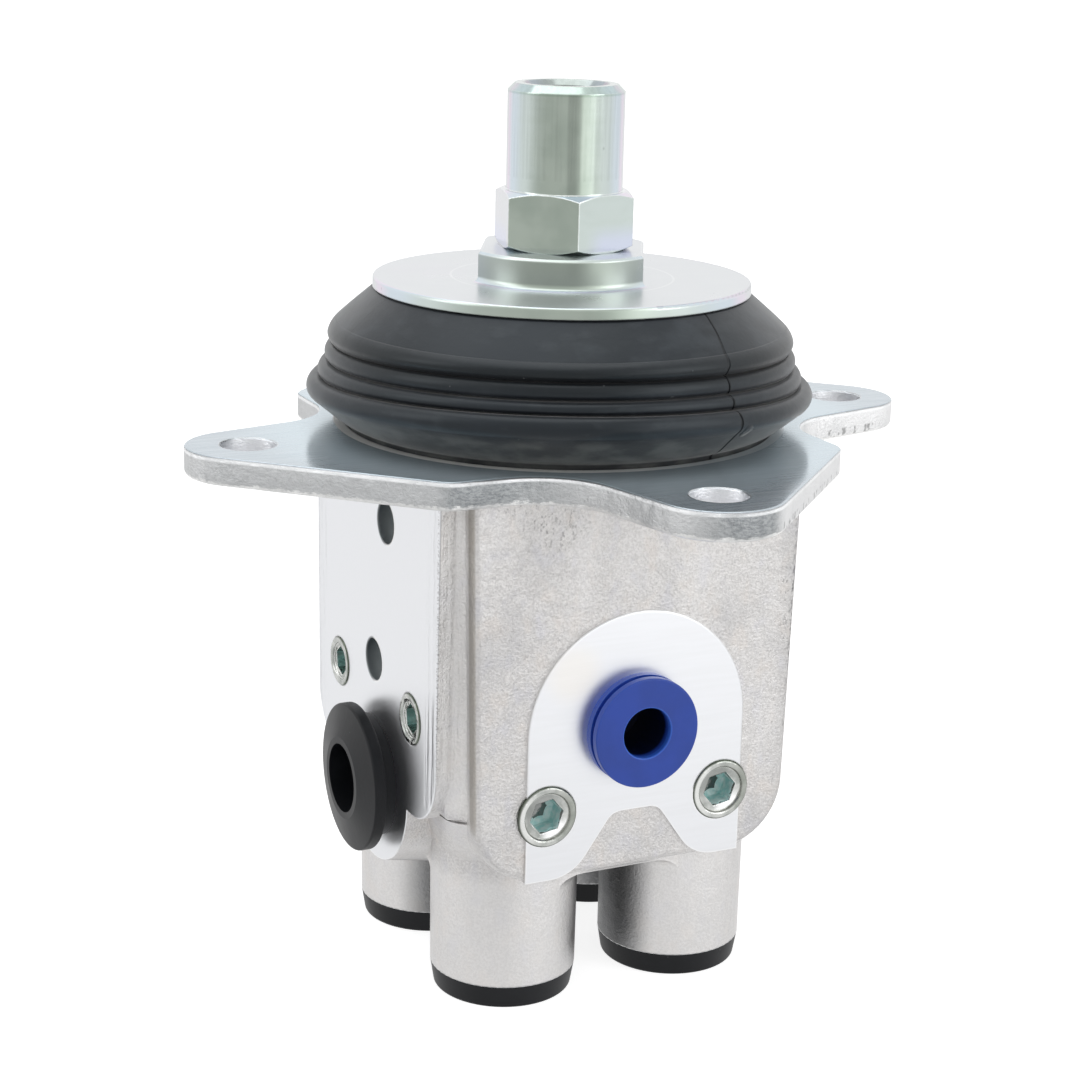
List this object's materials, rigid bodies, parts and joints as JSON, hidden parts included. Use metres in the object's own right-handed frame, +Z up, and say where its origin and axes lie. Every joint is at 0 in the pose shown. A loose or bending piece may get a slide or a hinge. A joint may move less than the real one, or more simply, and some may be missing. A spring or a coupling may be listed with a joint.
{
  "type": "hydraulic pilot joystick valve",
  "caption": "Pilot control valve: cast body with eared mounting flange, a port leg under each valve, rubber boot, swash disc and hexagon lever coupling that tilts all ways.",
  "frame": {"origin": "centre of the four mounting holes on the top face of the flange, on the upright lever's axis", "axes": "+Z up along the upright lever, -Y towards the face with the pressure port, -X towards the face with the tank port"},
  "size_m": [0.1378, 0.1378, 0.1577],
  "materials": {
    "cast_aluminium": "as-cast with fine grain, machined faces bright",
    "plated_steel": "zinc plated, faint iridescence",
    "machined_steel": "turned and ground",
    "spring_steel": "oiled wire",
    "black_rubber": "matt, dusty",
    "seal_rubber": "smooth",
    "blue_plastic": "soft moulded plastic",
    "black_plastic": "soft moulded plastic"
  },
  "bodies": {
    "housing": {"valve_body": "cast_aluminium", "cover_plate": "plated_steel", "boot": "black_rubber", "joint_base": "machined_steel", "pressure_port_plug": "blue_plastic", "tank_port_plug": "black_rubber", "front_gallery_plug_left": "plated_steel", "front_gallery_plug_right": "plated_steel", "side_gallery_plug_front": "plated_steel", "side_gallery_plug_rear": "plated_steel", "plunger_guide_front_left": "machined_steel", "guide_seal_front_left": "seal_rubber", "wiper_seal_front_left": "seal_rubber", "return_spring_front_left": "spring_steel", "metering_spring_front_left": "spring_steel", "outlet_cap_front_left": "black_plastic", "plunger_guide_front_right": "machined_steel", "guide_seal_front_right": "seal_rubber", "wiper_seal_front_right": "seal_rubber", "return_spring_front_right": "spring_steel", "metering_spring_front_right": "spring_steel", "outlet_cap_front_right": "black_plastic", "plunger_guide_rear_right": "machined_steel", "guide_seal_rear_right": "seal_rubber", "wiper_seal_rear_right": "seal_rubber", "return_spring_rear_right": "spring_steel", "metering_spring_rear_right": "spring_steel", "outlet_cap_rear_right": "black_plastic", "plunger_guide_rear_left": "machined_steel", "guide_seal_rear_left": "seal_rubber", "wiper_seal_rear_left": "seal_rubber", "return_spring_rear_left": "spring_steel", "metering_spring_rear_left": "spring_steel", "outlet_cap_rear_left": "black_plastic"},
    "cross": {"joint_cross": "machined_steel"},
    "lever": {"joint_yoke": "machined_steel", "swash_disc": "plated_steel", "lever_coupling": "plated_steel"},
    "plunger_set_front_left": {"plunger_front_left": "machined_steel", "spring_seat_front_left": "machined_steel"},
    "spool_set_front_left": {"spool_front_left": "machined_steel"},
    "plunger_set_front_right": {"plunger_front_right": "machined_steel", "spring_seat_front_right": "machined_steel"},
    "spool_set_front_right": {"spool_front_right": "machined_steel"},
    "plunger_set_rear_right": {"plunger_rear_right": "machined_steel", "spring_seat_rear_right": "machined_steel"},
    "spool_set_rear_right": {"spool_rear_right": "machined_steel"},
    "plunger_set_rear_left": {"plunger_rear_left": "machined_steel", "spring_seat_rear_left": "machined_steel"},
    "spool_set_rear_left": {"spool_rear_left": "machined_steel"}
  },
  "joints": [
    {"name": "tilt_rear_left_front_right", "type": "hinge", "parent": "housing", "child": "cross", "pos_m": [0, 0, 0.0108], "axis": [0.7071, 0.7071, 0], "range_deg": [-19, 19], "stiffness_Nm_per_rad": 2, "deforming": ["boot"]},
    {"name": "tilt_front_left_rear_right", "type": "hinge", "parent": "cross", "child": "lever", "pos_m": [0, 0, 0.0108], "axis": [0.7071, -0.7071, 0], "range_deg": [-19, 19], "stiffness_Nm_per_rad": 2, "deforming": ["boot"]},
    {"name": "plunger_slide_front_left", "type": "slide", "parent": "housing", "child": "plunger_set_front_left", "axis": [0, 0, 1], "range_m": [-0.00795, 0.00795], "deforming": ["return_spring_front_left", "metering_spring_front_left"]},
    {"name": "spool_slide_front_left", "type": "slide", "parent": "housing", "child": "spool_set_front_left", "axis": [0, 0, 1], "range_m": [-0.002, 0.002]},
    {"name": "plunger_slide_front_right", "type": "slide", "parent": "housing", "child": "plunger_set_front_right", "axis": [0, 0, 1], "range_m": [-0.00795, 0.00795], "deforming": ["return_spring_front_right", "metering_spring_front_right"]},
    {"name": "spool_slide_front_right", "type": "slide", "parent": "housing", "child": "spool_set_front_right", "axis": [0, 0, 1], "range_m": [-0.002, 0.002]},
    {"name": "plunger_slide_rear_right", "type": "slide", "parent": "housing", "child": "plunger_set_rear_right", "axis": [0, 0, 1], "range_m": [-0.00795, 0.00795], "deforming": ["return_spring_rear_right", "metering_spring_rear_right"]},
    {"name": "spool_slide_rear_right", "type": "slide", "parent": "housing", "child": "spool_set_rear_right", "axis": [0, 0, 1], "range_m": [-0.002, 0.002]},
    {"name": "plunger_slide_rear_left", "type": "slide", "parent": "housing", "child": "plunger_set_rear_left", "axis": [0, 0, 1], "range_m": [-0.00795, 0.00795], "deforming": ["return_spring_rear_left", "metering_spring_rear_left"]},
    {"name": "spool_slide_rear_left", "type": "slide", "parent": "housing", "child": "spool_set_rear_left", "axis": [0, 0, 1], "range_m": [-0.002, 0.002]}
  ],
  "couplings": [
    {"joint": "plunger_slide_front_left", "follows": "tilt_front_left_rear_right", "m_per_rad": -0.0239},
    {"joint": "spool_slide_front_left", "follows": "tilt_front_left_rear_right", "m_per_rad": -0.006},
    {"joint": "plunger_slide_front_right", "follows": "tilt_rear_left_front_right", "m_per_rad": -0.0239},
    {"joint": "spool_slide_front_right", "follows": "tilt_rear_left_front_right", "m_per_rad": -0.006},
    {"joint": "plunger_slide_rear_right", "follows": "tilt_front_left_rear_right", "m_per_rad": 0.0239},
    {"joint": "spool_slide_rear_right", "follows": "tilt_front_left_rear_right", "m_per_rad": 0.006},
    {"joint": "plunger_slide_rear_left", "follows": "tilt_rear_left_front_right", "m_per_rad": 0.0239},
    {"joint": "spool_slide_rear_left", "follows": "tilt_rear_left_front_right", "m_per_rad": 0.006}
  ]
}
